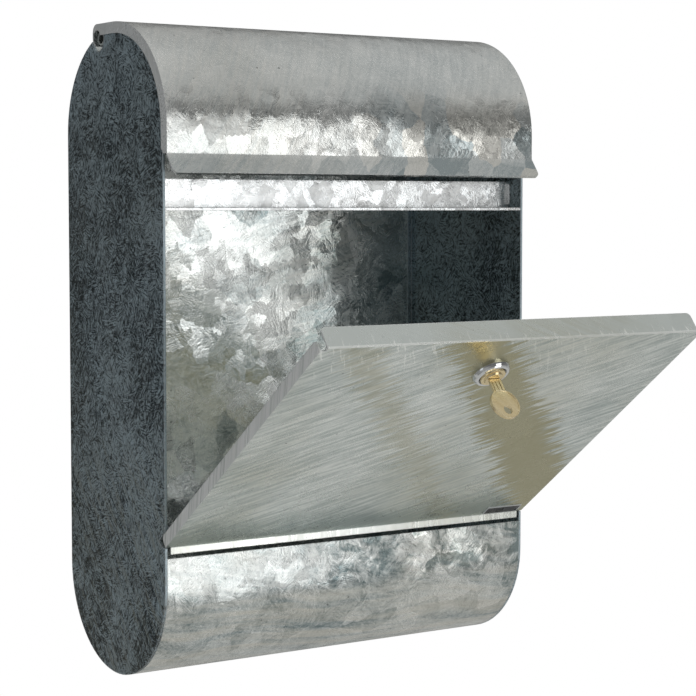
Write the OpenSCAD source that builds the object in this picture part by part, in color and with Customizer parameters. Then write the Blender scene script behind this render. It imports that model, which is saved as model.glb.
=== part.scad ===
// Wall mounted mailbox in galvanised sheet, front door open, cam lock with its key.
// X runs left to right, -Y is the front, +Z is up. The origin is the middle of the
// four wall holes, on the back face.

/* [Body] */
// Width over both side panels
body_w = 366; // [300:1:440]
// Depth from the wall to the front edge of the side panels
body_d = 170; // [145:1:200]
// Height of the side panels
body_h = 540; // [460:1:648]
// Side panel sheet
side_t = 2; // [1.6:0.1:2.4]
// Sheet of the wrap, lid, door and crossbar
sheet_t = 1.2; // [1:0.1:1.4]
// Height of the front band under the door
band_top = 109.3; // [100:0.1:125]
// Width of the flange turned in round the side panels
rim_w = 4.6; // [3:0.1:8]
// Length of the fold inside the top of the front band
band_hem = 11; // [6:0.5:16]

/* [Slot crossbar] */
// From the top of the side panels down to the crossbar
slot_drop = 148.7; // [140:0.1:165]
// Depth of the crossbar web behind the front edge
web_set = 18.3; // [16:0.1:22]
// Height of the web
web_h = 24.5; // [18:0.5:30]

/* [Lid] */
// How far the lid stands proud of the front edge
lid_proud = 10.3; // [8:0.1:12]
// Height of the lid surface over the side panels
lid_rise = 5.5; // [4.5:0.1:7]
// From the top of the side panels down to the lid bend
lid_drop = 104.5; // [95:0.5:115]
// Width of the side flanges of the lid
lid_flange = 9.5; // [8:0.1:12]
// Forward reach of the flared lip
lip_out = 11.5; // [8:0.5:15]
// Drop of the flared lip
lip_down = 15.5; // [10:0.5:18]
// Place of the lid hinge past the top of the arc
lid_hinge_deg = 17.5; // [15:0.5:22]
// Outer radius of the curl at the back of the lid
curl_r = 7.2; // [6.6:0.1:7.8]

/* [Door] */
// Opening angle the door is drawn at
door_angle = 53; // [0:1:53]
// How far the closed door stands proud of the front edge
door_proud = 10.5; // [9:0.1:12]
// Reach of the door over the crossbar
door_over = 23.4; // [18:0.1:26]
// Depth of the fold along the top of the door
top_fold = 18; // [10:0.5:20]
// Length of the drip strip along the foot of the door
strip_len = 6; // [4:0.5:6.5]

/* [Lock] */
// Sideways place of the lock from the middle of the door
lock_off = -6; // [-30:1:30]
// From the top of the door down to the lock
lock_drop = 43.6; // [40:0.1:55]
// Radius of the lock barrel
barrel_r = 9.5; // [8.5:0.1:10.5]
// Reach of the cam from the lock axis
cam_len = 36; // [33:0.5:40]
// Radius of the key bow
bow_r = 12.6; // [10:0.1:14]

/* [Wall holes] */
// Distance between the wall holes across
hole_dx = 250; // [180:1:280]
// Distance between the wall holes up
hole_dz = 260; // [180:1:270]
// Radius of the wall holes
hole_r = 3.5; // [2.5:0.1:4.5]

/* [Hidden] */
$fn = 72;
eps = 0.01;
// gaps between pieces that move past each other
run_gap = 0.3;
flange_gap = 0.8;
pin_gap = 0.06;
// body
arc_r = body_d / 2;
arc_z = body_h - arc_r;
mount_z = arc_z - 25 - hole_dz / 2;
bar_z = body_h - slot_drop;
// lid hinge: the curl of the lid turns round a knuckle rolled from the wrap
hinge_in = 2.4;
hinge_y = arc_r + (arc_r - hinge_in) * sin(lid_hinge_deg);
hinge_z = arc_z + (arc_r - hinge_in) * cos(lid_hinge_deg);
lid_r = arc_r + lid_rise;
lid_y = lid_r - lid_proud;
lid_bend = body_h - lid_drop;
lid_top = arc_z + lid_r;
knuckle_r = curl_r - sheet_t - run_gap;
// the tray under the curl is set back a little, for the corner of the lid as it opens
tray_set = 1.6;
tray_y = hinge_y + tray_set * cos(15);
tray_z = hinge_z - tray_set * sin(15);
tray_r = lid_top - hinge_z + run_gap - tray_set + 0.1;
neck_at = -152;
lip_len = sqrt(lip_out * lip_out + lip_down * lip_down);
lip_tilt = atan2(lip_out, lip_down);
// door, drawn closed and then turned about its hinge
flange_d = 10;
pivot_y = 0.5;
pivot_z = band_top + 22.5;
pin_r = 2.4;
door_front = -door_proud;
door_foot = pivot_z - 7;
door_top = bar_z + door_over;
strip_deg = 50;
full_open = 53;
notch_r = 13.7;
// lock
lock_x = body_w / 2 + lock_off;
lock_z = door_top - lock_drop;
cam_y = web_set + sheet_t + 0.7 + door_proud;
cam_t = 2;
housing_end = cam_y - 3.4;
plug_r = 6.5;
blade_w = 7.6;
blade_t = 2;
wafer_n = 5;
wafer_pitch = 2.9;
wafer_at = 5.5;

// from the drawing corner (left, front, bottom) to the wall holes
module place() {
  translate([-body_w / 2, -body_d, -mount_z]) children();
}

// a side-on outline (Y across, Z up) pulled along X
module along_x(x0, x1) {
  translate([x0, 0, 0])
    rotate([90, 0, 90])
      linear_extrude(x1 - x0) children();
}

// an outline seen from the front (X across, Z up) pulled back along Y
module along_y(y0, y1) {
  translate([0, y1, 0])
    rotate([90, 0, 0])
      linear_extrude(y1 - y0) children();
}

function on_circle(r, a) = [r * cos(a), r * sin(a)];

module wedge(r, a0, a1) {
  s = (a1 - a0) / 6;
  polygon([
    [0, 0],
    on_circle(r, a0),
    on_circle(r, a0 + s),
    on_circle(r, a0 + 2 * s),
    on_circle(r, a0 + 3 * s),
    on_circle(r, a0 + 4 * s),
    on_circle(r, a0 + 5 * s),
    on_circle(r, a1)
  ]);
}

module band(r1, r0, a0, a1) {
  intersection() {
    difference() {
      circle(r1);
      circle(r0);
    }
    wedge(r1 * 2, a0, a1);
  }
}

// rectangle with its own corner radius at each end: bottom pair and top pair
module soft_rect(w, h, rb, rt) {
  difference() {
    square([w, h]);
    translate([-eps, -eps]) square([rb, rb]);
    translate([w - rb + eps, -eps]) square([rb, rb]);
    translate([-eps, h - rt + eps]) square([rt, rt]);
    translate([w - rt + eps, h - rt + eps]) square([rt, rt]);
  }
  translate([rb, rb]) circle(rb);
  translate([w - rb, rb]) circle(rb);
  translate([rt, h - rt]) circle(rt);
  translate([w - rt, h - rt]) circle(rt);
}

// turned about the door hinge by the drawn opening angle
module door_pose() {
  translate([0, pivot_y, pivot_z])
    rotate([door_angle, 0, 0])
      translate([0, -pivot_y, -pivot_z]) children();
}

// lock frame: Z runs inward through the door from its outer face
module lock_pose() {
  door_pose()
    translate([lock_x, door_front, lock_z])
      rotate([-90, 0, 0]) children();
}

module side_2d() {
  difference() {
    union() {
      translate([arc_r, arc_r]) circle(arc_r);
      translate([arc_r, arc_z]) circle(arc_r);
      translate([0, arc_r]) square([body_d, arc_z - arc_r]);
      translate([sheet_t + run_gap - lid_proud, lid_bend + 6])
        square([lid_proud + 4, 14]);
    }
    translate([tray_y, tray_z]) circle(tray_r + 0.1);
    translate([tray_y, tray_z]) rotate(90 - lid_hinge_deg) translate([0, -tray_r * 0.5])
      square([tray_r * 2, tray_r * 1.2]);
    translate([pivot_y, pivot_z]) notch_2d();
  }
}

// room for the foot of the door flange: its top edge is the stop of the open door,
// a gap above the free edge of the flange
module notch_2d() {
  intersection() {
    circle(notch_r);
    rotate(full_open - 90)
      translate([-30, run_gap + flange_d - door_proud - pivot_y - 40]) square([60, 40]);
    translate([-30, -30]) square([30 + 9.8, 60]);
  }
}

// narrow flange turned in round the rim, welded inside the wrap
module rim_2d() {
  r = arc_r - sheet_t;
  translate([arc_r, arc_r]) band(r, r - sheet_t, 180, 360);
  translate([sheet_t, arc_r]) square([sheet_t, band_top - arc_r - band_hem - 1]);
  translate([body_d - 2 * sheet_t, arc_r]) square([sheet_t, arc_z - arc_r]);
  translate([arc_r, arc_z]) band(r, r - sheet_t, 0, 55);
}

module left_side_panel() {
  color([0.42, 0.47, 0.53])
    place() {
      along_x(0, side_t) side_2d();
      along_x(side_t - eps, side_t + rim_w) rim_2d();
    }
}

module right_side_panel() {
  color([0.42, 0.47, 0.53])
    place() {
      along_x(body_w - side_t, body_w) side_2d();
      along_x(body_w - side_t - rim_w, body_w - side_t + eps) rim_2d();
    }
}

module wrap_2d() {
  translate([arc_r, arc_r]) band(arc_r, arc_r - sheet_t, 180, 360);
  translate([0, arc_r]) square([sheet_t, band_top - arc_r]);
  translate([0, band_top - band_hem]) square([2 * sheet_t, band_hem - sheet_t]);
  intersection() {
    translate([sheet_t, band_top - sheet_t]) circle(sheet_t);
    translate([0, band_top - sheet_t]) square([2 * sheet_t, sheet_t]);
  }
  translate([body_d - sheet_t, arc_r]) square([sheet_t, arc_z - arc_r]);
  difference() {
    translate([arc_r, arc_z])
      band(arc_r, arc_r - sheet_t, 0, 90 - lid_hinge_deg - 5);
    translate([tray_y, tray_z]) circle(tray_r + sheet_t / 2);
  }
  translate([tray_y, tray_z]) band(tray_r + sheet_t, tray_r, neck_at - 5, -12);
  translate([hinge_y, hinge_z]) {
    rotate(neck_at)
      translate([knuckle_r - 0.6, -sheet_t / 2])
        square([tray_r - knuckle_r + 1.2, sheet_t]);
    difference() {
      circle(knuckle_r);
      circle(knuckle_r - sheet_t);
    }
  }
}

module body_wrap() {
  color([0.70, 0.73, 0.76])
    place() {
      difference() {
        along_x(side_t, body_w - side_t) wrap_2d();
        for (dx = [-1, 1])
          for (dz = [-1, 1])
            translate([body_w / 2 + dx * hole_dx / 2, body_d + 1, mount_z + dz * hole_dz / 2])
              rotate([90, 0, 0]) cylinder(r = hole_r, h = 5);
        for (k = [-1, 0, 1])
          translate([body_w / 2 + k * body_w * 0.3, arc_r, -1]) cylinder(r = 3, h = 4);
      }
    }
}

module slot_crossbar() {
  x0 = side_t;
  x1 = body_w - side_t;
  y1 = web_set + sheet_t;
  color([0.80, 0.83, 0.86])
    place() {
      along_x(x0, x1) {
        translate([run_gap, bar_z]) square([y1 - run_gap, sheet_t]);
        translate([run_gap, bar_z - sheet_t]) square([6, sheet_t + eps]);
        translate([web_set, bar_z]) square([sheet_t, web_h]);
        translate([web_set, bar_z + web_h - sheet_t]) square([9, sheet_t]);
      }
      for (x = [x0, x1 - sheet_t])
        along_x(x, x + sheet_t)
          translate([web_set - 3.2, bar_z + 4]) soft_rect(3.4, web_h - 6, 1.5, 0.5);
    }
}

// straight front of the lid and its flared lip, with a hem inside the lip's edge
module lid_front_2d() {
  t = sheet_t;
  y = -lid_proud;
  c = cos(lip_tilt);
  n = sin(lip_tilt);
  hem = lip_len - 5;
  polygon([
    [y, arc_z],
    [y, lid_bend],
    [y - lip_len * n, lid_bend - lip_len * c],
    [y - lip_len * n + 2 * t * c, lid_bend - lip_len * c - 2 * t * n],
    [y - hem * n + 2 * t * c, lid_bend - hem * c - 2 * t * n],
    [y - hem * n + t * c, lid_bend - hem * c - t * n],
    [y + t, lid_bend - t * tan(lip_tilt / 2)],
    [y + t, arc_z]
  ]);
}

module lid_2d() {
  t = sheet_t;
  translate([lid_y, arc_z]) band(lid_r, lid_r - t, 90, 180);
  lid_front_2d();
  translate([lid_y, lid_top - t]) square([hinge_y - lid_y, t]);
  translate([hinge_y, lid_top - curl_r]) band(curl_r, curl_r - t, 0, 90);
  translate([hinge_y + curl_r - t, hinge_z]) square([t, lid_top - curl_r - hinge_z]);
  translate([hinge_y, hinge_z]) band(curl_r, curl_r - t, -68, 0);
}

module lid_flange_2d() {
  difference() {
    union() {
      translate([lid_y, arc_z]) band(lid_r, lid_r - lid_flange, 90, 180);
      translate([-lid_proud, lid_bend]) square([lid_flange, arc_z - lid_bend]);
      translate([lid_y, lid_top - lid_flange]) square([hinge_y - lid_y, lid_flange]);
      translate([hinge_y, lid_top - curl_r]) wedge_disc(curl_r);
    }
    translate([hinge_y, hinge_z]) circle(curl_r - sheet_t / 2);
    translate([lid_flange - lid_proud, lid_bend]) circle(3);
  }
}

// quarter of a disc, up and back
module wedge_disc(r) {
  intersection() {
    circle(r);
    square([r, r]);
  }
}

module lid() {
  x0 = -flange_gap - sheet_t;
  x1 = body_w + flange_gap + sheet_t;
  color([0.68, 0.68, 0.66])
    place() {
      difference() {
        along_x(x0, x1) lid_2d();
        translate([x0, -lid_proud, lid_bend])
          rotate([-lip_tilt, 0, 0])
            translate([0, 0, -lip_len])
              along_y(-3, 6) {
                translate([5, 5]) rotate(180) corner_cut(5);
                translate([x1 - x0 - 5, 5]) rotate(-90) corner_cut(5);
              }
      }
      along_x(x0, -flange_gap) lid_flange_2d();
      along_x(body_w + flange_gap, x1) lid_flange_2d();
    }
}

module bracket_2d() {
  difference() {
    union() {
      translate([pivot_y, pivot_z]) circle(4.6);
      translate([pivot_y, pivot_z - 4.6]) square([24, 9.2]);
      translate([pivot_y + 10, pivot_z - 4.6]) soft_rect(16, 24, 2, 3);
    }
    translate([pivot_y, pivot_z]) circle(pin_r);
  }
}

module bracket_at(x) {
  place() along_x(x, x + sheet_t) bracket_2d();
}

module hinge_bracket_left() {
  color([0.60, 0.62, 0.64]) bracket_at(side_t);
}

module hinge_bracket_right() {
  color([0.60, 0.62, 0.64]) bracket_at(body_w - side_t - sheet_t);
}

ear_x = side_t + sheet_t + 0.4;

module pin(dir) {
  translate([0, pivot_y, pivot_z]) rotate([0, 90 * dir, 0]) {
    cylinder(r = pin_r, h = 2 * sheet_t + 0.8 + eps);
    translate([0, 0, 2 * sheet_t + 0.8]) cylinder(r1 = 4.2, r2 = 3.2, h = 1.4);
  }
}

module hinge_pins() {
  color([0.75, 0.76, 0.78])
    place() {
      translate([side_t, 0, 0]) pin(1);
      translate([body_w - side_t, 0, 0]) pin(-1);
    }
}

// face, top fold and drip strip seen from the side
module door_2d() {
  t = sheet_t;
  y = door_front;
  c = cos(strip_deg);
  n = sin(strip_deg);
  polygon([
    [y, door_foot],
    [y, door_top],
    [y + top_fold, door_top],
    [y + top_fold, door_top - t],
    [y + t, door_top - t],
    [y + t, door_foot - t * tan(strip_deg / 2)],
    [y + t * c - strip_len * n, door_foot - strip_len * c - t * n],
    [y - strip_len * n, door_foot - strip_len * c]
  ]);
}

module door_panel() {
  w = body_w;
  in = 5;
  foot = door_foot;
  z1 = door_top - 4;
  color([0.62, 0.66, 0.64])
    place() door_pose() {
      difference() {
        union() {
          along_x(in, w - in) door_2d();
          translate([0, door_front, foot]) cube([in + 1, sheet_t, z1 - foot]);
          translate([w - in - 1, door_front, foot]) cube([in + 1, sheet_t, z1 - foot]);
        }
        translate([lock_x, door_front - 1, lock_z])
          rotate([-90, 0, 0]) cylinder(r = barrel_r + 0.1, h = 4);
        translate([0, 0, door_top - 3])
          linear_extrude(6) {
            translate([in + 4, door_front + top_fold - 4]) rotate(90) corner_cut(4);
            translate([w - in - 4, door_front + top_fold - 4]) corner_cut(4);
          }
      }
      for (x = [0, w - sheet_t])
        along_x(x, x + sheet_t)
          translate([door_front, foot])
            difference() {
              square([flange_d, z1 - foot]);
              translate([flange_d - 5, 5]) rotate(-90) corner_cut(5);
              translate([flange_d - 4, z1 - foot - 4]) corner_cut(4);
            }
    }
}

// what is taken off a square corner to round it, from the circle's centre
module corner_cut(r) {
  difference() {
    square([r + 1, r + 1]);
    circle(r);
  }
}

module ear_2d() {
  difference() {
    union() {
      translate([pivot_y, pivot_z]) circle(5.6);
      translate([door_front + sheet_t, pivot_z - 5.6])
        square([pivot_y - door_front - sheet_t, 11.2]);
      translate([door_front + sheet_t, pivot_z - 5.6]) square([5, 18]);
    }
    translate([pivot_y, pivot_z]) circle(pin_r + pin_gap);
  }
}

module ear(dir) {
  along_x(0, sheet_t) ear_2d();
  along_y(door_front + sheet_t, door_front + 2 * sheet_t)
    translate([dir > 0 ? 0 : sheet_t - 17, pivot_z - 5.6]) soft_rect(17, 18, 2, 2);
}

module door_ear_left() {
  color([0.60, 0.62, 0.64])
    place() door_pose() translate([ear_x, 0, 0]) ear(1);
}

module door_ear_right() {
  color([0.60, 0.62, 0.64])
    place() door_pose() translate([body_w - ear_x - sheet_t, 0, 0]) ear(-1);
}

module label_plate() {
  color([0.08, 0.08, 0.09])
    place() door_pose()
      translate([body_w - 45.5, 0, door_foot + 1.2])
        along_y(door_front - 0.8, door_front) soft_rect(38, 11.4, 0.8, 0.8);
}

module lock_housing() {
  color([0.66, 0.67, 0.69])
    place() lock_pose()
      difference() {
        union() {
          translate([0, 0, -3]) cylinder(r = barrel_r + 3.4, h = 3);
          cylinder(r = barrel_r, h = housing_end);
        }
        translate([0, 0, -4]) cylinder(r = plug_r + pin_gap, h = housing_end + 6);
        translate([-20, barrel_r - 1, 6]) cube([40, 4, housing_end]);
        translate([-20, -barrel_r - 3, 6]) cube([40, 4, housing_end]);
        for (k = [0 : 6])
          translate([0, 0, 7 + 2.4 * k])
            difference() {
              cylinder(r = barrel_r + 1, h = 1.1);
              translate([0, 0, -1]) cylinder(r = barrel_r - 0.5, h = 4);
            }
      }
}

module lock_bezel() {
  color([0.88, 0.89, 0.91])
    place() lock_pose()
      rotate_extrude()
        polygon([
          [barrel_r + 3.5, 0],
          [barrel_r + 6, 0],
          [barrel_r + 6, -1.6],
          [barrel_r + 5.6, -2.6],
          [barrel_r + 4.8, -4.2],
          [barrel_r + 4, -5],
          [barrel_r + 2.2, -5.2],
          [barrel_r + 1.8, -4.8],
          [barrel_r + 1.8, -3],
          [barrel_r + 3.5, -3]
        ]);
}

module lock_nut() {
  color([0.72, 0.73, 0.74])
    place() lock_pose()
      translate([0, 0, sheet_t])
        difference() {
          cylinder(r = barrel_r * 1.42, h = 4, $fn = 6);
          translate([0, 0, -1]) cylinder(r = barrel_r + 0.03, h = 6);
        }
}

function wafer_z(k) = wafer_at + k * wafer_pitch;

module lock_plug() {
  color([0.80, 0.66, 0.36])
    place() lock_pose()
      difference() {
        union() {
          translate([0, 0, -6.2])
            cylinder(r1 = barrel_r + 0.7, r2 = barrel_r + 1.4, h = 2.9);
          translate([0, 0, -7.6]) cylinder(r1 = plug_r + 0.6, r2 = plug_r + 1.4, h = 1.5);
          translate([0, 0, -4]) cylinder(r = plug_r, h = housing_end + 4.4);
          translate([-3.5, -3.5, housing_end]) cube([7, 7, cam_y + cam_t - housing_end]);
        }
        translate([-blade_w / 2 - 0.35, -blade_t / 2 - 0.35, -9])
          cube([blade_w + 0.7, blade_t + 0.7, 9 + 22.6]);
        for (k = [0 : wafer_n - 1])
          translate([-6, -3, wafer_z(k) - 0.2]) cube([12, 6, 1.2]);
        translate([0, 0, cam_y - 5]) cylinder(r = 1.98, h = 12);
      }
}

module lock_wafers() {
  color([0.83, 0.71, 0.42])
    place() lock_pose()
      for (k = [0 : wafer_n - 1])
        translate([0, 0, wafer_z(k)])
          difference() {
            translate([-5.6, -2.8, 0]) cube([11.2, 5.6, 0.8]);
            translate([-blade_w / 2 - 0.4, -blade_t / 2 - 0.4, -1])
              cube([blade_w + 0.8, blade_t + 0.8, 3]);
            translate([-6, 1.5, -1]) cube([2.1, 2, 3]);
          }
}

module wafer_springs() {
  color([0.70, 0.70, 0.72])
    place() lock_pose()
      for (k = [0 : wafer_n - 1])
        translate([-5.7, 2.25, wafer_z(k) + 0.4])
          rotate([0, 90, 0])
            difference() {
              union() {
                cylinder(r = 0.3, h = 1.75);
                for (j = [0 : 3])
                  translate([0, 0, 0.1 + 0.45 * j]) cylinder(r = 0.42, h = 0.2);
              }
              translate([0, 0, -1]) cylinder(r = 0.18, h = 4);
            }
}

module cam_2d() {
  difference() {
    union() {
      circle(9);
      translate([0, -6.5]) square([cam_len - 6.5, 13]);
      translate([cam_len - 6.5, 0]) circle(6.5);
    }
    translate([-3.52, -3.52]) square([7.04, 7.04]);
  }
}

module lock_cam() {
  color([0.62, 0.64, 0.66])
    place() lock_pose()
      translate([0, 0, cam_y]) linear_extrude(cam_t) cam_2d();
}

module cam_washer() {
  color([0.74, 0.75, 0.76])
    place() lock_pose()
      translate([0, 0, cam_y + cam_t])
        difference() {
          cylinder(r = 6, h = 0.8);
          translate([0, 0, -1]) cylinder(r = 2.1, h = 3);
        }
}

module cam_screw() {
  color([0.70, 0.71, 0.72])
    place() lock_pose()
      translate([0, 0, cam_y + cam_t + 0.8])
        difference() {
          union() {
            cylinder(r1 = 4, r2 = 3.2, h = 2.6);
            translate([0, 0, -6.8]) cylinder(r = 1.98, h = 6.9);
          }
          translate([-2.4, -0.4, 1.6]) cube([4.8, 0.8, 2]);
          translate([-0.4, -2.4, 1.6]) cube([0.8, 4.8, 2]);
        }
}

module bow_2d() {
  difference() {
    union() {
      circle(bow_r);
      translate([-5.4, 0]) square([10.8, bow_r + 9.6]);
    }
    translate([0, -5.4]) circle(3.7);
  }
}

module key_blade_2d() {
  difference() {
    translate([-blade_w / 2, 0]) square([blade_w, 30]);
    for (k = [0 : wafer_n - 1])
      translate([blade_w / 2, 12.2 + wafer_pitch * k])
        rotate(45) square([1.2 + 0.35 * (k % 3), 1.2 + 0.35 * (k % 3)], center = true);
    translate([-blade_w / 2, 30]) rotate(45) square([3, 3], center = true);
    translate([blade_w / 2, 30]) rotate(45) square([3, 3], center = true);
  }
}

// bow in the XZ plane of the lock frame, its middle bow_mid outside the door face
bow_mid = -30.4;

module key() {
  color([0.84, 0.71, 0.42])
    place() lock_pose() {
      translate([0, 1.1, bow_mid])
        rotate([90, 0, 0]) linear_extrude(2.2) bow_2d();
      for (s = [-1, 1])
        translate([0, s * 1.1 + 0.3, bow_mid])
          rotate([90, 0, 0])
            linear_extrude(0.6)
              difference() {
                circle(bow_r);
                circle(bow_r - 1.1);
              }
      for (s = [-1, 0, 1])
        translate([s * 3.4 - 0.7, -1.6, bow_mid + bow_r - 1])
          cube([1.4, 3.2, 9]);
      translate([0, blade_t / 2, -9.6])
        rotate([90, 0, 0]) linear_extrude(blade_t) key_blade_2d();
    }
}

left_side_panel();
right_side_panel();
body_wrap();
slot_crossbar();
lid();
hinge_bracket_left();
hinge_bracket_right();
hinge_pins();
door_panel();
door_ear_left();
door_ear_right();
label_plate();
lock_housing();
lock_bezel();
lock_nut();
lock_plug();
lock_wafers();
wafer_springs();
lock_cam();
cam_washer();
cam_screw();
key();
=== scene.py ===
import bpy
import math
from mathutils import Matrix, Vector

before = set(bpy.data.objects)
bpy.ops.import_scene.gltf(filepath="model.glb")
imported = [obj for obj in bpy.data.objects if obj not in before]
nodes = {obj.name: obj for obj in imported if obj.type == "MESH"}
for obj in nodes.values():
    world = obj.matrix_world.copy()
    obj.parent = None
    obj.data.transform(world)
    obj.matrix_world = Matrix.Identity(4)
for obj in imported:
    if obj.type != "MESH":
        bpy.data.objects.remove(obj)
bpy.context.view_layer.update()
print("mailbox frame loaded,", len(nodes), "CAD nodes")

studio = {
    "cameraAt": (-0.9587, -1.5911, 0.0921),
    "lookAt": (0.04478, -0.0950, -0.03279),
    "lens": 104.41,
    "floorAt": -1.30,
    "floorSize": 3.4,
    "floorShade": (0.80, 0.80, 0.785),
    "keyAt": (0.84, -2.55, -0.22), "keySize": (1.30, 1.80), "keyPower": 13.0,
    "leftAt": (-2.6, -0.9, 0.3), "leftSize": (1.0, 2.2), "leftPower": 4.2,
    "floorLampPower": 34.0,
    "roomByHeight": [
        (0.0, 0.44), (0.44, 0.44), (0.53, 0.24), (0.61, 0.13),
        (0.70, 0.17), (0.79, 0.53), (1.0, 0.57),
    ],
}

scene = bpy.context.scene
scene.view_settings.view_transform = "Standard"
scene.view_settings.look = "None"

cameraData = bpy.data.cameras.new("photoCamera")
cameraData.lens = studio["lens"]
cameraData.sensor_width = 36.0
camera = bpy.data.objects.new("photoCamera", cameraData)
scene.collection.objects.link(camera)
camera.location = studio["cameraAt"]
aim = Vector(studio["lookAt"]) - Vector(studio["cameraAt"])
camera.rotation_euler = aim.to_track_quat("-Z", "Y").to_euler()
scene.camera = camera


def addNode(tree, kind, links=None, **settings):
    made = tree.nodes.new(kind)
    for key, value in settings.items():
        setattr(made, key, value)
    for key, value in (links or {}).items():
        socket = made.inputs[key]
        if isinstance(value, bpy.types.NodeSocket):
            tree.links.new(value, socket)
        else:
            socket.default_value = value
    return made


def softbox(name, at, towards, size, power, tint=(1, 1, 1)):
    lamp = bpy.data.lights.new(name, "AREA")
    lamp.shape = "RECTANGLE"
    lamp.size, lamp.size_y = size
    lamp.energy = power
    lamp.color = tint
    holder = bpy.data.objects.new(name, lamp)
    scene.collection.objects.link(holder)
    holder.location = at
    holder.rotation_euler = (Vector(towards) - Vector(at)).to_track_quat("-Z", "Y").to_euler()
    holder.visible_camera = False
    return holder


softbox(
    "keyFront", studio["keyAt"], (0, -0.1, -0.05), studio["keySize"], studio["keyPower"],
    (1.0, 0.995, 0.985)
)
softbox(
    "coolLeft", studio["leftAt"], (0, -0.1, 0.0), studio["leftSize"], studio["leftPower"], (0.85, 0.92, 1.0)
)
floorLamp = softbox("floorLamp", (0.6, 0.2, 2.4), (0.6, 0.3, -1.3), (2.0, 2.0), studio["floorLampPower"])
floorLamp.visible_glossy = False  # lights the floor without a patch of its own on the lid

world = bpy.data.worlds.new("studioRoom")
scene.world = world
world.use_nodes = True
roomTree = world.node_tree
roomTree.nodes.clear()
facing = addNode(roomTree, "ShaderNodeTexCoord")
split = addNode(roomTree, "ShaderNodeSeparateXYZ", {0: facing.outputs["Generated"]})
upRamp = addNode(
    roomTree, "ShaderNodeValToRGB",
    {0: addNode(roomTree, "ShaderNodeMapRange", {0: split.outputs[2], 1: -1.0, 2: 1.0}).outputs[0]}
)
for stop, (place, shade) in enumerate(studio["roomByHeight"]):
    if stop > 1:
        upRamp.color_ramp.elements.new(place)
    upRamp.color_ramp.elements[stop].position = place
    upRamp.color_ramp.elements[stop].color = (shade, shade, shade * 0.985, 1)
# the room is darker behind the wall and on the left, so that the left panel reads as slate
darkSide = addNode(
    roomTree, "ShaderNodeMath",
    {
        0: addNode(
            roomTree, "ShaderNodeMath", {0: split.outputs[0], 1: 0.62}, operation="MULTIPLY"
        ).outputs[0],
        1: addNode(
            roomTree, "ShaderNodeMath", {0: split.outputs[1], 1: -0.78}, operation="MULTIPLY"
        ).outputs[0]
    },
    operation="ADD"
)
darkMask = addNode(
    roomTree, "ShaderNodeMapRange", {0: darkSide.outputs[0], 1: -0.6, 2: 0.3, 3: 0.62, 4: 1.0}
)
room = addNode(
    roomTree, "ShaderNodeMix", {"Factor": 1.0, 6: upRamp.outputs[0], 7: darkMask.outputs[0]},
    data_type="RGBA", blend_type="MULTIPLY"
)
seen = addNode(roomTree, "ShaderNodeLightPath")
backdrop = addNode(roomTree, "ShaderNodeBackground", {0: (1, 1, 1, 1), 1: 1.0})
glow = addNode(roomTree, "ShaderNodeBackground", {0: room.outputs[2], 1: 1.0})
mixed = addNode(
    roomTree, "ShaderNodeMixShader",
    {0: seen.outputs["Is Camera Ray"], 1: glow.outputs[0], 2: backdrop.outputs[0]}
)
addNode(roomTree, "ShaderNodeOutputWorld", {0: mixed.outputs[0]})

floorMesh = bpy.data.meshes.new("paleFloor")
half = studio["floorSize"] / 2
low = studio["floorAt"]
floorMesh.from_pydata(
    [(-half, -half, low), (half, -half, low), (half, half, low), (-half, half, low)], [], [(0, 1, 2, 3)]
)
floor = bpy.data.objects.new("paleFloor", floorMesh)
scene.collection.objects.link(floor)
floorPaint = bpy.data.materials.new("paleFloorPaint")
floorPaint.use_nodes = True
floorPaint.node_tree.nodes["Principled BSDF"].inputs["Base Color"].default_value = (
    *studio["floorShade"], 1
)
floorPaint.node_tree.nodes["Principled BSDF"].inputs["Roughness"].default_value = 0.9
floorMesh.materials.append(floorPaint)
print("studio set")

fullTurn = 6.283


# shader groups shared by the sheets
def newGroup(name, inputs, outputs):
    tree = bpy.data.node_groups.new(name, "ShaderNodeTree")
    for label, kind, value in inputs:
        socket = tree.interface.new_socket(label, in_out="INPUT", socket_type=kind)
        if value is not None:
            socket.default_value = value
    for label, kind in outputs:
        tree.interface.new_socket(label, in_out="OUTPUT", socket_type=kind)
    return tree, tree.nodes.new("NodeGroupInput").outputs, tree.nodes.new("NodeGroupOutput").inputs


def maths(tree, operation, a, b=0.0, c=0.0):
    return addNode(tree, "ShaderNodeMath", {0: a, 1: b, 2: c}, operation=operation).outputs[0]


def vmath(tree, operation, a, b=(0, 0, 0), scale=None):
    made = addNode(tree, "ShaderNodeVectorMath", {0: a, 1: b}, operation=operation)
    if scale is not None:
        if isinstance(scale, bpy.types.NodeSocket):
            tree.links.new(scale, made.inputs["Scale"])
        else:
            made.inputs["Scale"].default_value = scale
    return made.outputs["Value"] if operation in ("DOT_PRODUCT", "LENGTH") else made.outputs[0]


def ranged(tree, value, low, high, toLow=0.0, toHigh=1.0, smooth=False):
    return addNode(tree, "ShaderNodeMapRange", {0: value, 1: low, 2: high, 3: toLow, 4: toHigh},
                   interpolation_type="SMOOTHSTEP" if smooth else "LINEAR").outputs[0]


def blended(tree, amount, a, b, way="MIX"):
    return addNode(
        tree, "ShaderNodeMix", {"Factor": amount, 6: a, 7: b}, data_type="RGBA", blend_type=way
    ).outputs[2]


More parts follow.
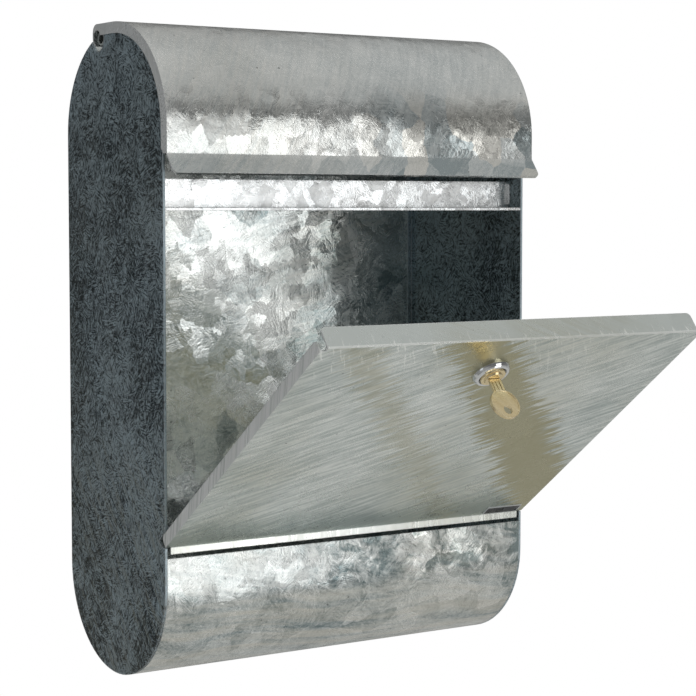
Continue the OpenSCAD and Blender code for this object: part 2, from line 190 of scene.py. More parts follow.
def buildUnroll():
    # a sheet rolled round two level lines, laid out flat: X stays, Y runs along the sheet
    tree, gin, gout = newGroup(
        "sheetUnrolled",
        [
            ("Vector", "NodeSocketVector", None), ("CentreY", "NodeSocketFloat", 0.0),
            ("LowZ", "NodeSocketFloat", 0.0), ("HighZ", "NodeSocketFloat", 0.0),
            ("Radius", "NodeSocketFloat", 0.1)
        ],
        [("Vector", "NodeSocketVector")]
    )
    at = addNode(tree, "ShaderNodeSeparateXYZ", {0: gin["Vector"]})
    level = maths(tree, "MINIMUM", maths(tree, "MAXIMUM", at.outputs[2], gin["LowZ"]), gin["HighZ"])
    dy = maths(tree, "SUBTRACT", at.outputs[1], gin["CentreY"])
    dz = maths(tree, "SUBTRACT", at.outputs[2], level)
    angle = maths(tree, "ARCTAN2", dz, maths(tree, "MULTIPLY", dy, -1.0))
    back = maths(
        tree, "MULTIPLY", maths(tree, "GREATER_THAN", dy, 0.0),
        maths(tree, "LESS_THAN", maths(tree, "ABSOLUTE", dz), 0.00001)
    )
    front = maths(tree, "SUBTRACT", 1.0, maths(tree, "MULTIPLY", back, 2.0))
    along = maths(tree, "MULTIPLY_ADD", angle, gin["Radius"], maths(tree, "MULTIPLY", level, front))
    out = maths(
        tree, "SQRT", maths(tree, "ADD", maths(tree, "MULTIPLY", dy, dy), maths(tree, "MULTIPLY", dz, dz))
    )
    flat = addNode(tree, "ShaderNodeCombineXYZ", {0: maths(tree, "ADD", at.outputs[0], out), 1: along})
    tree.links.new(flat.outputs[0], gout["Vector"])
    return tree


def buildSpangle():
    # zinc crystals on a flat sheet: each has a tone, feathered branches and a small tilt
    tree, gin, gout = newGroup(
        "zincSpangle",
        [
            ("Vector", "NodeSocketVector", None), ("Size", "NodeSocketFloat", 0.02),
            ("Warp", "NodeSocketFloat", 0.35), ("Feathering", "NodeSocketFloat", 9.0),
            ("Seed", "NodeSocketVector", (0, 0, 0))
        ],
        [("Tone", "NodeSocketFloat"), ("Feather", "NodeSocketFloat"), ("Tilt", "NodeSocketVector")]
    )
    moved = vmath(
        tree, "ADD", vmath(tree, "SCALE", gin["Vector"], scale=maths(tree, "DIVIDE", 1.0, gin["Size"])),
        gin["Seed"]
    )
    ripple = addNode(
        tree, "ShaderNodeTexNoise", {"Vector": moved, "Scale": 1.7, "Detail": 2.0}, noise_dimensions="2D"
    )
    wobbly = vmath(
        tree, "ADD", moved,
        vmath(
            tree, "SCALE", vmath(tree, "SUBTRACT", ripple.outputs["Color"], (0.5, 0.5, 0.5)),
            scale=gin["Warp"]
        )
    )
    cells = addNode(
        tree, "ShaderNodeTexVoronoi", {"Vector": wobbly, "Scale": 1.0, "Randomness": 1.0},
        voronoi_dimensions="2D"
    )
    tone = addNode(tree, "ShaderNodeSeparateColor", {0: cells.outputs["Color"]})
    local = vmath(tree, "SUBTRACT", wobbly, cells.outputs["Position"])
    turned = addNode(
        tree, "ShaderNodeVectorRotate",
        {"Vector": local, "Angle": maths(tree, "MULTIPLY", tone.outputs[1], fullTurn)}, rotation_type="Z_AXIS"
    )
    parts = addNode(tree, "ShaderNodeSeparateXYZ", {0: turned.outputs[0]})
    spine = maths(tree, "ABSOLUTE", parts.outputs[1])
    branch = maths(tree, "MULTIPLY_ADD", spine, 0.62, maths(tree, "MULTIPLY", parts.outputs[0], 0.78))
    across = maths(
        tree, "MULTIPLY",
        maths(tree, "MULTIPLY_ADD", spine, 0.78, maths(tree, "MULTIPLY", parts.outputs[0], -0.62)),
        gin["Feathering"]
    )
    squeezed = addNode(tree, "ShaderNodeCombineXYZ", {0: branch, 1: across})
    streak = addNode(
        tree, "ShaderNodeTexNoise",
        {
            "Vector": vmath(
                tree, "ADD", squeezed.outputs[0], vmath(tree, "SCALE", cells.outputs["Color"], scale=37.0)
            ),
            "Scale": 1.5, "Detail": 2.0, "Roughness": 0.6
        },
        noise_dimensions="2D"
    )
    tree.links.new(tone.outputs[0], gout["Tone"])
    tree.links.new(ranged(tree, streak.outputs["Fac"], 0.32, 0.68), gout["Feather"])
    tree.links.new(vmath(tree, "SUBTRACT", cells.outputs["Color"], (0.5, 0.5, 0.5)), gout["Tilt"])
    return tree


def buildNeedles():
    # short strokes that cross each other every way
    tree, gin, gout = newGroup(
        "frostNeedles",
        [
            ("Vector", "NodeSocketVector", None), ("Patch", "NodeSocketFloat", 0.008),
            ("Stretch", "NodeSocketFloat", 8.0), ("Seed", "NodeSocketVector", (0, 0, 0))
        ],
        [("Strokes", "NodeSocketFloat"), ("Lines", "NodeSocketFloat")]
    )
    scaled = vmath(
        tree, "ADD", vmath(tree, "SCALE", gin["Vector"], scale=maths(tree, "DIVIDE", 1.0, gin["Patch"])),
        gin["Seed"]
    )
    ripple = addNode(
        tree, "ShaderNodeTexNoise", {"Vector": scaled, "Scale": 1.3, "Detail": 1.0}, noise_dimensions="2D"
    )
    wobbly = vmath(
        tree, "ADD", scaled,
        vmath(tree, "SCALE", vmath(tree, "SUBTRACT", ripple.outputs["Color"], (0.5, 0.5, 0.5)), scale=1.4)
    )
    cells = addNode(
        tree, "ShaderNodeTexVoronoi", {"Vector": wobbly, "Scale": 0.8, "Randomness": 1.0},
        voronoi_dimensions="2D"
    )
    angle = addNode(tree, "ShaderNodeSeparateColor", {0: cells.outputs["Color"]}).outputs[0]
    turned = addNode(
        tree, "ShaderNodeVectorRotate", {"Vector": scaled, "Angle": maths(tree, "MULTIPLY", angle, fullTurn)},
        rotation_type="Z_AXIS"
    )
    parts = addNode(tree, "ShaderNodeSeparateXYZ", {0: turned.outputs[0]})
    squeezed = addNode(
        tree, "ShaderNodeCombineXYZ",
        {0: parts.outputs[0], 1: maths(tree, "MULTIPLY", parts.outputs[1], gin["Stretch"])}
    )
    streak = addNode(
        tree, "ShaderNodeTexNoise",
        {"Vector": squeezed.outputs[0], "Scale": 0.9, "Detail": 2.0, "Roughness": 0.6},
        noise_dimensions="2D"
    )
    tree.links.new(ranged(tree, streak.outputs["Fac"], 0.33, 0.67), gout["Strokes"])
    tree.links.new(
        ranged(
            tree, maths(tree, "ABSOLUTE", maths(tree, "SUBTRACT", streak.outputs["Fac"], 0.42)), 0.0, 0.035,
            1.0, 0.0, True
        ),
        gout["Lines"]
    )
    return tree


def buildStreaks():
    # long marks that all run one way, as a sheet shows when it is drawn out of the bath
    tree, gin, gout = newGroup(
        "bathStreaks",
        [
            ("Vector", "NodeSocketVector", None), ("Angle", "NodeSocketFloat", 0.0),
            ("Length", "NodeSocketFloat", 0.05), ("Width", "NodeSocketFloat", 0.003),
            ("Seed", "NodeSocketFloat", 0.0)
        ],
        [("Soft", "NodeSocketFloat"), ("Sharp", "NodeSocketFloat")]
    )
    bent = addNode(
        tree, "ShaderNodeTexNoise", {"Vector": gin["Vector"], "Scale": 9.0, "Detail": 1.0},
        noise_dimensions="2D"
    )
    angle = maths(
        tree, "MULTIPLY_ADD", maths(tree, "SUBTRACT", bent.outputs["Fac"], 0.5), 0.9, gin["Angle"]
    )
    turned = addNode(
        tree, "ShaderNodeVectorRotate", {"Vector": gin["Vector"], "Angle": gin["Angle"]},
        rotation_type="Z_AXIS"
    )
    parts = addNode(tree, "ShaderNodeSeparateXYZ", {0: turned.outputs[0]})
    squeezed = addNode(
        tree, "ShaderNodeCombineXYZ",
        {
            0: maths(tree, "ADD", maths(tree, "DIVIDE", parts.outputs[0], gin["Length"]), gin["Seed"]),
            1: maths(
                tree, "ADD", maths(tree, "DIVIDE", parts.outputs[1], gin["Width"]),
                maths(tree, "MULTIPLY", angle, 2.5)
            )
        }
    )
    streak = addNode(
        tree, "ShaderNodeTexNoise",
        {"Vector": squeezed.outputs[0], "Scale": 1.0, "Detail": 3.0, "Roughness": 0.62},
        noise_dimensions="2D"
    )
    tree.links.new(ranged(tree, streak.outputs["Fac"], 0.34, 0.66), gout["Soft"])
    tree.links.new(ranged(tree, streak.outputs["Fac"], 0.60, 0.70, 0.0, 1.0, True), gout["Sharp"])
    return tree


def buildClouds():
    # slow changes of shade and tint over a whole sheet, and specks of dross
    tree, gin, gout = newGroup(
        "zincClouds",
        [
            ("Vector", "NodeSocketVector", None), ("Size", "NodeSocketFloat", 0.1),
            ("Seed", "NodeSocketFloat", 0.0)
        ],
        [("Shade", "NodeSocketFloat"), ("Tint", "NodeSocketFloat"), ("Specks", "NodeSocketFloat")]
    )
    scaled = vmath(tree, "SCALE", gin["Vector"], scale=maths(tree, "DIVIDE", 1.0, gin["Size"]))
    near = vmath(
        tree, "ADD", scaled,
        addNode(tree, "ShaderNodeCombineXYZ", {0: gin["Seed"], 1: gin["Seed"]}).outputs[0]
    )
    far = vmath(
        tree, "ADD", scaled,
        addNode(
            tree, "ShaderNodeCombineXYZ", {0: maths(tree, "ADD", gin["Seed"], 41.0), 1: gin["Seed"]}
        ).outputs[0]
    )
    shade = addNode(
        tree, "ShaderNodeTexNoise", {"Vector": near, "Scale": 1.0, "Detail": 4.0, "Roughness": 0.62},
        noise_dimensions="2D"
    )
    tint = addNode(
        tree, "ShaderNodeTexNoise", {"Vector": far, "Scale": 0.8, "Detail": 3.0}, noise_dimensions="2D"
    )
    dots = addNode(
        tree, "ShaderNodeTexVoronoi", {"Vector": gin["Vector"], "Scale": 48.0, "Randomness": 1.0},
        voronoi_dimensions="2D"
    )
    size = ranged(
        tree, addNode(tree, "ShaderNodeSeparateColor", {0: dots.outputs["Color"]}).outputs[0], 0.80, 1.0,
        0.0, 0.045
    )
    tree.links.new(ranged(tree, shade.outputs["Fac"], 0.3, 0.7), gout["Shade"])
    tree.links.new(ranged(tree, tint.outputs["Fac"], 0.42, 0.66), gout["Tint"])
    tree.links.new(maths(tree, "LESS_THAN", dots.outputs["Distance"], size), gout["Specks"])
    return tree


unrollGroup = buildUnroll()
spangleGroup = buildSpangle()
needleGroup = buildNeedles()
streakGroup = buildStreaks()
cloudGroup = buildClouds()


def placeGroup(tree, group, inputs):
    made = tree.nodes.new("ShaderNodeGroup")
    made.node_tree = group
    for key, value in inputs.items():
        if isinstance(value, bpy.types.NodeSocket):
            tree.links.new(value, made.inputs[key])
        else:
            made.inputs[key].default_value = value
    return made.outputs


def unrolled(tree, coords, roll):
    centreY, lowZ, highZ, radius = roll
    sizes = {"Vector": coords, "CentreY": centreY, "LowZ": lowZ, "HighZ": highZ, "Radius": radius}
    return placeGroup(tree, unrollGroup, sizes)["Vector"]


def flatCoords(tree, look):
    coords = addNode(tree, "ShaderNodeTexCoord").outputs["Object"]
    if "roll" in look:
        return unrolled(tree, coords, look["roll"]), coords
    placed = addNode(
        tree, "ShaderNodeMapping",
        {
            "Vector": coords, "Location": look.get("shift", (0, 0, 0)),
            "Rotation": look.get("turn", (0, 0, 0))
        },
        vector_type="TEXTURE"
    ).outputs[0]
    at = addNode(tree, "ShaderNodeSeparateXYZ", {0: placed})
    if look["plane"] == "YZ":
        u = maths(tree, "MULTIPLY_ADD", at.outputs[0], 4.0, at.outputs[1])
        v = at.outputs[2]
    else:
        u = at.outputs[0]
        v = maths(tree, "SUBTRACT", at.outputs[2], at.outputs[1])
    return addNode(tree, "ShaderNodeCombineXYZ", {0: u, 1: v}).outputs[0], placed


def zincSheet(name, look, extra=None):
    mat = bpy.data.materials.new(name)
    mat.use_nodes = True
    tree = mat.node_tree
    shader = tree.nodes["Principled BSDF"]
    flat, placed = flatCoords(tree, look)
    big = placeGroup(
        tree, spangleGroup,
        {
            "Vector": flat, "Size": look["crystal"], "Warp": look.get("warp", 0.35),
            "Feathering": look.get("feathering", 7.0), "Seed": look.get("seed", (3, 1, 2))
        }
    )
    small = placeGroup(
        tree, spangleGroup,
        {"Vector": flat, "Size": look["crystal"] * 0.4, "Warp": 0.8, "Feathering": 5.0, "Seed": (11, 5, 8)}
    )
    needles = placeGroup(
        tree, needleGroup,
        {"Vector": flat, "Patch": look.get("needle", 0.009), "Stretch": look.get("needleStretch", 8.0)}
    )
    finerNeedles = placeGroup(
        tree, needleGroup,
        {"Vector": flat, "Patch": look.get("needle", 0.009) * 0.62, "Stretch": 7.0, "Seed": (19, 4, 33)}
    )
    drawn = placeGroup(
        tree, streakGroup,
        {
            "Vector": flat, "Angle": math.radians(look.get("streakAngle", 0.0)),
            "Length": look.get("streakLength", 0.06), "Width": look.get("streakWidth", 0.004),
            "Seed": look.get("cloudSeed", 1.0)
        }
    )
    cloud = placeGroup(
        tree, cloudGroup,
        {"Vector": flat, "Size": look.get("cloud", 0.12), "Seed": look.get("cloudSeed", 1.0)}
    )

    # shade: crystals, feathers, clouds and strokes added round a middle value
    level = maths(
        tree, "MULTIPLY_ADD", maths(tree, "SUBTRACT", big["Tone"], 0.5), look["crystalMix"],
        look.get("middle", 0.5)
    )
    for value, amount in (
        (small["Tone"], look["crystalMix"] * 0.45), (big["Feather"], look["featherMix"]),
        (small["Feather"], look["featherMix"] * 0.7), (cloud["Shade"], look["cloudMix"]),
        (drawn["Soft"], look["streakMix"]), (needles["Strokes"], look["needleMix"]),
        (finerNeedles["Strokes"], look["needleMix"] * 0.8)
    ):
        level = maths(tree, "MULTIPLY_ADD", maths(tree, "SUBTRACT", value, 0.5), amount, level)
    level = maths(
        tree, "MULTIPLY_ADD", maths(tree, "MAXIMUM", needles["Lines"], finerNeedles["Lines"]),
        -look.get("lineMix", 0.2), level
    )
    marked = 0.0
    if extra:
        level, marked = extra(tree, placed, flat, level)
    colour = blended(tree, ranged(tree, level, 0.0, 1.0), (*look["dark"], 1), (*look["light"], 1))
    stain = maths(
        tree, "MULTIPLY",
        maths(tree, "MULTIPLY", cloud["Tint"], ranged(tree, drawn["Soft"], 0.0, 1.0, 0.45, 1.0)),
        look.get("stainMix", 0.0)
    )
    stain = maths(tree, "MAXIMUM", stain, marked)
    colour = blended(tree, stain, colour, (*look.get("stain", (0.3, 0.28, 0.2)), 1))
    colour = blended(tree, maths(tree, "MULTIPLY", cloud["Specks"], 0.6), colour, (0.07, 0.075, 0.08, 1))

    # lighter zinc along the sheet edges and bends, partly bright cut edges and partly a painted highlight,
    # and painted light on flanges that face to the side
    bevel = addNode(tree, "ShaderNodeBevel", {"Radius": look.get("edge", 0.0011)}, samples=3)
    geometry = addNode(tree, "ShaderNodeNewGeometry")
    edgeWearAndHighlight = maths(
        tree, "SUBTRACT", 1.0, vmath(tree, "DOT_PRODUCT", bevel.outputs[0], geometry.outputs["Normal"])
    )
    edgeWearAndHighlight = maths(tree, "MULTIPLY", ranged(tree, edgeWearAndHighlight, 0.02, 0.22), look.get("edgeMix", 0.8))
    # flanges facing to the side in world space get painted light
    sidewaysHighlight = maths(
        tree, "MULTIPLY",
        maths(
            tree, "GREATER_THAN",
            maths(
                tree, "ABSOLUTE",
                addNode(tree, "ShaderNodeSeparateXYZ", {0: geometry.outputs["Normal"]}).outputs[0]
            ),
            0.9
        ),
        look.get("flangeHighlightMix", 0.0)
    )
    colour = blended(
        tree,
        maths(
            tree, "MAXIMUM", edgeWearAndHighlight,
            maths(tree, "MULTIPLY", sidewaysHighlight, ranged(tree, needles["Strokes"], 0.1, 0.7, 0.35, 1.0))
        ),
        colour, (*look.get("edgeTone", (0.80, 0.82, 0.83)), 1)
    )
    tree.links.new(colour, shader.inputs["Base Color"])

    rough = maths(
        tree, "MULTIPLY_ADD", maths(tree, "SUBTRACT", big["Tone"], 0.5), look.get("roughSwing", 0.14),
        look["rough"]
    )
    rough = maths(
        tree, "MULTIPLY_ADD", maths(tree, "SUBTRACT", big["Feather"], 0.5),
        look.get("roughSwing", 0.14) * 0.7, rough
    )
    rough = maths(tree, "MULTIPLY_ADD", maths(tree, "SUBTRACT", cloud["Shade"], 0.5), -0.10, rough)
    rough = maths(tree, "MULTIPLY_ADD", needles["Strokes"], 0.06, rough)
    tree.links.new(ranged(tree, rough, 0.0, 1.0), shader.inputs["Roughness"])
    matt = maths(tree, "MAXIMUM", edgeWearAndHighlight, sidewaysHighlight)
    tree.links.new(
        maths(tree, "MULTIPLY_ADD", matt, -0.75, look.get("metal", 0.9)), shader.inputs["Metallic"]
    )

    height = maths(tree, "MULTIPLY", big["Feather"], look.get("relief", 0.00005))
    height = maths(tree, "MULTIPLY_ADD", drawn["Soft"], look.get("streakRelief", 0.00003), height)
    height = maths(tree, "MULTIPLY_ADD", needles["Strokes"], look.get("relief", 0.00005) * 0.6, height)
    height = maths(tree, "MULTIPLY_ADD", cloud["Specks"], 0.00012, height)
    bump = addNode(
        tree, "ShaderNodeBump",
        {"Strength": look.get("bump", 0.8), "Distance": 1.0, "Height": height, "Normal": bevel.outputs[0]}
    )
    tilt = vmath(
        tree, "ADD", vmath(tree, "SCALE", big["Tilt"], scale=look["tilt"]),
        vmath(tree, "SCALE", small["Tilt"], scale=look["tilt"] * 0.8)
    )
    tree.links.new(
        vmath(tree, "NORMALIZE", vmath(tree, "ADD", bump.outputs[0], tilt)), shader.inputs["Normal"]
    )
    return mat


def plainMetal(name, look):
    mat = bpy.data.materials.new(name)
    mat.use_nodes = True
    tree = mat.node_tree
    shader = tree.nodes["Principled BSDF"]
    coords = addNode(tree, "ShaderNodeTexCoord").outputs["Object"]
    at = addNode(tree, "ShaderNodeSeparateXYZ", {0: coords})
    flat = addNode(
        tree, "ShaderNodeCombineXYZ",
        {
            0: maths(tree, "ADD", at.outputs[0], at.outputs[1]),
            1: maths(tree, "SUBTRACT", at.outputs[2], at.outputs[1])
        }
    ).outputs[0]
    cloud = placeGroup(
        tree, cloudGroup, {"Vector": flat, "Size": look.get("cloud", 0.008), "Seed": look.get("seed", 2.0)}
    )
    drawn = placeGroup(
        tree, streakGroup,
        {
            "Vector": flat, "Angle": look.get("angle", 0.6), "Length": look.get("streakLength", 0.01),
            "Width": look.get("streakWidth", 0.0004), "Seed": look.get("seed", 2.0)
        }
    )
    level = maths(
        tree, "MULTIPLY_ADD", maths(tree, "SUBTRACT", cloud["Shade"], 0.5), look.get("cloudMix", 0.5), 0.5
    )
    level = maths(
        tree, "MULTIPLY_ADD", maths(tree, "SUBTRACT", drawn["Soft"], 0.5), look.get("streakMix", 0.3), level
    )
    colour = blended(tree, ranged(tree, level, 0.0, 1.0), (*look["dark"], 1), (*look["light"], 1))
    bevel = addNode(tree, "ShaderNodeBevel", {"Radius": look.get("edge", 0.0003)}, samples=4)
    geometry = addNode(tree, "ShaderNodeNewGeometry")
    edgeWearAndHighlight = maths(
        tree, "SUBTRACT", 1.0, vmath(tree, "DOT_PRODUCT", bevel.outputs[0], geometry.outputs["Normal"])
    )
    # lighter along the edges: partly wear, partly a painted highlight
    colour = blended(
        tree, maths(tree, "MULTIPLY", ranged(tree, edgeWearAndHighlight, 0.02, 0.2), look.get("edgeMix", 0.5)), colour,
        (*look.get("edgeTone", look["light"]), 1)
    )
    tree.links.new(colour, shader.inputs["Base Color"])
    rough = maths(
        tree, "MULTIPLY_ADD", maths(tree, "SUBTRACT", cloud["Shade"], 0.5), look.get("roughSwing", 0.12),
        look["rough"]
    )
    rough = maths(
        tree, "MULTIPLY_ADD", maths(tree, "SUBTRACT", drawn["Soft"], 0.5), look.get("roughSwing", 0.12),
        rough
    )
    tree.links.new(ranged(tree, rough, 0.0, 1.0), shader.inputs["Roughness"])
    shader.inputs["Metallic"].default_value = look.get("metal", 1.0)
    height = maths(
        tree, "MULTIPLY_ADD", drawn["Soft"], look.get("relief", 0.000008),
        maths(tree, "MULTIPLY", cloud["Shade"], look.get("relief", 0.000008) * 2)
    )
    bump = addNode(
        tree, "ShaderNodeBump",
        {"Strength": 0.7, "Distance": 1.0, "Height": height, "Normal": bevel.outputs[0]}
    )
    tree.links.new(bump.outputs[0], shader.inputs["Normal"])
    return mat


def finish(nodeName, mat):
    piece = nodes[nodeName]
    for slotIndex in range(len(piece.material_slots)):
        piece.material_slots[slotIndex].material = mat
    if not piece.material_slots:
        piece.data.materials.append(mat)


def stroked(tree, flat, angle, length, width, seed):
    return placeGroup(
        tree, streakGroup,
        {"Vector": flat, "Angle": math.radians(angle), "Length": length, "Width": width, "Seed": seed}
    )


def crystals(tree, flat, size, warp, feathering, seed=(7, 2, 4)):
    return placeGroup(
        tree, spangleGroup,
        {"Vector": flat, "Size": size, "Warp": warp, "Feathering": feathering, "Seed": seed}
    )


def added(tree, level, value, amount, mask=1.0):
    # a pattern from 0 to 1, put round zero and laid over the level where the mask lets it
    swing = maths(tree, "MULTIPLY", maths(tree, "SUBTRACT", value, 0.5), amount)
    return maths(tree, "MULTIPLY_ADD", swing, mask, level)


def raised(tree, level, mask, amount):
    return maths(tree, "MULTIPLY_ADD", mask, amount, level)


def times(tree, a, b):
    return maths(tree, "MULTIPLY", a, b)


# heights and depths are in metres from the wall holes; each pair runs from nothing to full
sideMarksLook = {
    "low": (-0.05, -0.16), "lowLift": 0.20,
    "foot": (-0.17, -0.24), "ferns": (0.042, 0.7, 3.2), "fernMix": 0.55,
    "top": (0.12, 0.21), "topLift": 0.24, "frost": (0.024, 0.8, 5.0, (1, 9, 3)), "frostMix": 0.5,
    "rightLift": 0.25,
    "frontEdgeAt": -0.1692, "cornerLineAt": 0.1772, "edgeHighlightLift": 0.8,
    "steep": (-52.0, 0.05, 0.0028, 8.0), "steepMix": 0.75, "steepStain": 0.5,
    "rimWave": 700.0, "rimFrom": 0.0785, "rimDepth": 0.004, "rimMix": -0.45,
    "rimBack": (-0.075, -0.05), "rimBelow": (-0.02, -0.08),
}


def sideMarks(tree, placed, flat, level):
    look = sideMarksLook
    x, y, z = addNode(tree, "ShaderNodeSeparateXYZ", {0: placed}).outputs
    low = ranged(tree, z, *look["low"], smooth=True)
    foot = ranged(tree, z, *look["foot"], smooth=True)
    top = ranged(tree, z, *look["top"], smooth=True)
    level = raised(tree, level, low, look["lowLift"])
    level = raised(tree, level, top, look["topLift"])
    # the right panel is lifted lighter than the left: painted light on one side of the same sheet
    level = raised(tree, level, maths(tree, "GREATER_THAN", x, 0.0), look["rightLift"])
    # painted highlight along the front edge and the bend at the corner
    frontEdge = maths(tree, "LESS_THAN", y, look["frontEdgeAt"])
    cornerLine = maths(tree, "LESS_THAN", maths(tree, "ABSOLUTE", x), look["cornerLineAt"])
    level = raised(tree, level, maths(tree, "MAXIMUM", frontEdge, cornerLine), look["edgeHighlightLift"])
    ferns = crystals(tree, flat, *look["ferns"])
    level = added(tree, level, ferns["Tone"], look["fernMix"], foot)
    level = added(tree, level, ferns["Feather"], look["fernMix"], foot)
    level = added(tree, level, crystals(tree, flat, *look["frost"])["Feather"], look["frostMix"], top)
    steep = stroked(tree, flat, *look["steep"])["Soft"]
    level = added(tree, level, steep, look["steepMix"], low)
    # short marks round the lower back rim
    rolled = unrolled(tree, placed, wrapRoll)
    around = addNode(tree, "ShaderNodeSeparateXYZ", {0: rolled})
    wave = maths(tree, "SINE", times(tree, around.outputs[1], look["rimWave"]))
    reach = maths(tree, "SUBTRACT", maths(tree, "SUBTRACT", around.outputs[0], x), look["rimFrom"])
    lowerBack = times(tree, ranged(tree, y, *look["rimBack"]), ranged(tree, z, *look["rimBelow"]))
    rim = times(tree, ranged(tree, reach, 0.0, look["rimDepth"]), lowerBack)
    level = raised(tree, level, times(tree, ranged(tree, wave, 0.2, 0.9), rim), look["rimMix"])
    stained = times(tree, ranged(tree, steep, 0.35, 1.0), low)
    return level, times(tree, stained, look["steepStain"])


wrapMarksLook = {
    "insideFrom": -0.03, "insideFloor": -0.2, "insideLightAcross": (-0.18, 0.09, 0.50, -0.08),
    "flakes": (0.026, 0.45, 3.5, (5, 5, 1)), "flakeMix": 0.6, "flakesAcross": (-0.12, -0.03),
    "bandFront": -0.08, "bandTop": -0.15, "bandUpper": (-0.245, -0.215),
    "bandLeft": (0.0, -0.13), "leftLift": 0.14,
    "bandRight": (-0.10, 0.02), "rightLift": -0.26,
    "ferns": (0.045, 0.8, 2.6, (2, 8, 6)), "featherMix": 0.95, "toneMix": 0.6,
    "level": (2.0, 0.16, 0.011, 5.0), "levelMix": 0.35, "levelStain": 0.45,
}


def wrapMarks(tree, placed, flat, level):
    look = wrapMarksLook
    x, y, z = addNode(tree, "ShaderNodeSeparateXYZ", {0: placed}).outputs
    # painted light and shade on the inside of the back: lighter at the left, a little darker at the right
    inside = maths(tree, "GREATER_THAN", y, look["insideFrom"])
    across = times(tree, ranged(tree, x, *look["insideLightAcross"]), inside)
    level = raised(tree, level, across, maths(tree, "GREATER_THAN", z, look["insideFloor"]))
    flakes = crystals(tree, flat, *look["flakes"])["Tone"]
    level = added(
        tree, level, flakes, look["flakeMix"], times(tree, inside, ranged(tree, x, *look["flakesAcross"]))
    )
    # the front band: bright at the left, ferns at the right, level runs below
    band = times(
        tree, maths(tree, "LESS_THAN", y, look["bandFront"]), maths(tree, "LESS_THAN", z, look["bandTop"])
    )
    upper = times(tree, band, ranged(tree, z, *look["bandUpper"], smooth=True))
    left = ranged(tree, x, *look["bandLeft"], smooth=True)
    level = raised(tree, level, times(tree, upper, left), look["leftLift"])
    ferns = crystals(tree, flat, *look["ferns"])
    right = times(tree, upper, ranged(tree, x, *look["bandRight"]))
    level = added(tree, level, ferns["Feather"], look["featherMix"], right)
    level = added(tree, level, ferns["Tone"], look["toneMix"], right)
    level = raised(tree, level, right, look["rightLift"])
    lower = maths(tree, "SUBTRACT", band, upper)
    runs = stroked(tree, flat, *look["level"])["Soft"]
    level = added(tree, level, runs, look["levelMix"], lower)
    return level, times(tree, times(tree, runs, lower), look["levelStain"])


lidMarksLook = {
    "front": (0.205, 0.165), "right": (-0.06, 0.08), "rightLift": -0.18,
    "jagged": (0.026, 0.35, 2.6, (4, 4, 9)), "jaggedMix": 0.95, "jaggedAcross": (-0.12, 0.05, 0.12, 1.0),
    "lip": (0.137, 0.131), "lipLift": -0.22,
    "stainOver": 0.66, "stain": 0.35,
}


def lidMarks(tree, placed, flat, level):
    look = lidMarksLook
    x, y, z = addNode(tree, "ShaderNodeSeparateXYZ", {0: placed}).outputs
    # the darker front-right of the lid and its jagged crystal edge are painted shade where the reflection in
    # the curve darkens; the marked crystals there are stains
    front = ranged(tree, z, *look["front"], smooth=True)
    frontRight = times(tree, front, ranged(tree, x, *look["right"], smooth=True))
    jagged = crystals(tree, flat, *look["jagged"])["Tone"]
    level = added(
        tree, level, jagged, look["jaggedMix"], times(tree, front, ranged(tree, x, *look["jaggedAcross"]))
    )
    level = raised(tree, level, frontRight, look["rightLift"])
    level = raised(tree, level, ranged(tree, z, *look["lip"]), look["lipLift"])
    stained = times(tree, maths(tree, "GREATER_THAN", jagged, look["stainOver"]), frontRight)
    return level, times(tree, stained, look["stain"])


# heights are in metres from the hinge line, up the door; a band's side is x at the hinge line
# and how far x falls as the door rises
doorMarksLook = {
    "fray": (-30.0, 0.05, 0.004, 6.0), "frayBy": 0.030,
    "olive": ((0.167, 0.845), (0.246, 0.899), 0.010), "oliveLift": -0.30, "oliveStain": 0.95,
    "beige": ((0.075, 0.858), (0.106, 0.871), 0.014), "beigeStain": 0.5,
    "frost": (58.0, 0.030, 0.0030, 2.0), "frostLift": 0.55, "frostUp": (0.215, 0.272),
    "frostAcross": (0.15, 0.02, 0.35, 1.0),
    "foot": (0.042, 0.0), "footLift": -0.60,
    "foldFrom": 0.2817, "foldShade": 0.50, "rime": (90.0, 0.016, 0.0035, 3.0), "rimeBack": (0.0, -0.009),
    "rimeLift": 0.5,
    "bendFrom": -0.0096, "bendHighlightLift": 0.45,
    "stripFrom": -0.0073, "stripPaintedLight": 0.92,
}


